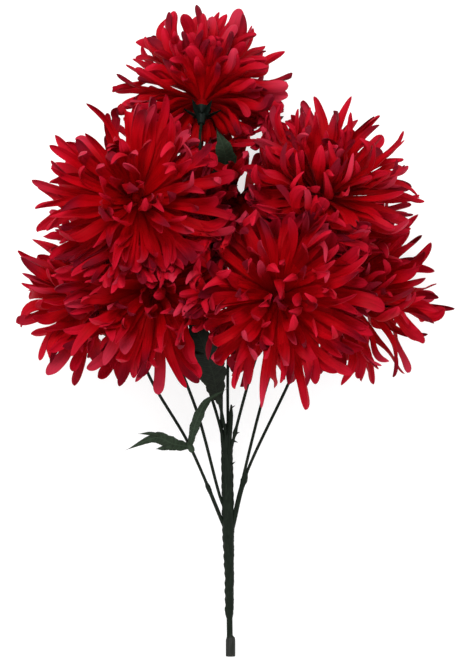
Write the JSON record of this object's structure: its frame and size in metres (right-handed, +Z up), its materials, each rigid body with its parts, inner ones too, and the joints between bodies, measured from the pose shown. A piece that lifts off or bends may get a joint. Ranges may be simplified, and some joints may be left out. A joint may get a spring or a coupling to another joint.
{
  "type": "artificial spider chrysanthemum spray",
  "caption": "Artificial spray of large red spider chrysanthemum heads with a few toothed leaves, on thin branches of one moulded stem, lying on its back.",
  "frame": {"origin": "on the surface that the spray lies on, under the middle of its bounding box", "axes": "+Y along the stem from its cut end to the heads, +X to the right seen from above with the heads away, +Z up from the surface"},
  "size_m": [0.333, 0.5105, 0.1972],
  "materials": {
    "petals": "satin polyester",
    "leaves": "satin polyester",
    "calyx": "moulded",
    "stem": "moulded and wrapped"
  },
  "bodies": {
    "root": {"stem": "stem", "bloom_top": "petals", "bloom_upper_right": "petals", "bloom_upper_left": "petals", "bloom_lower_left": "petals", "bloom_lower_centre_left": "petals", "bloom_lower_centre": "petals", "bloom_lower_right": "petals", "bloom_back": "petals", "calyx_top": "calyx", "calyx_upper_right": "calyx", "calyx_upper_left": "calyx", "calyx_lower_left": "calyx", "calyx_lower_centre_left": "calyx", "calyx_lower_centre": "calyx", "calyx_lower_right": "calyx", "calyx_back": "calyx", "leaf_centre": "leaves", "leaf_left": "leaves", "leaf_under_top": "leaves", "leaf_lower_left": "leaves"}
  },
  "joints": []
}
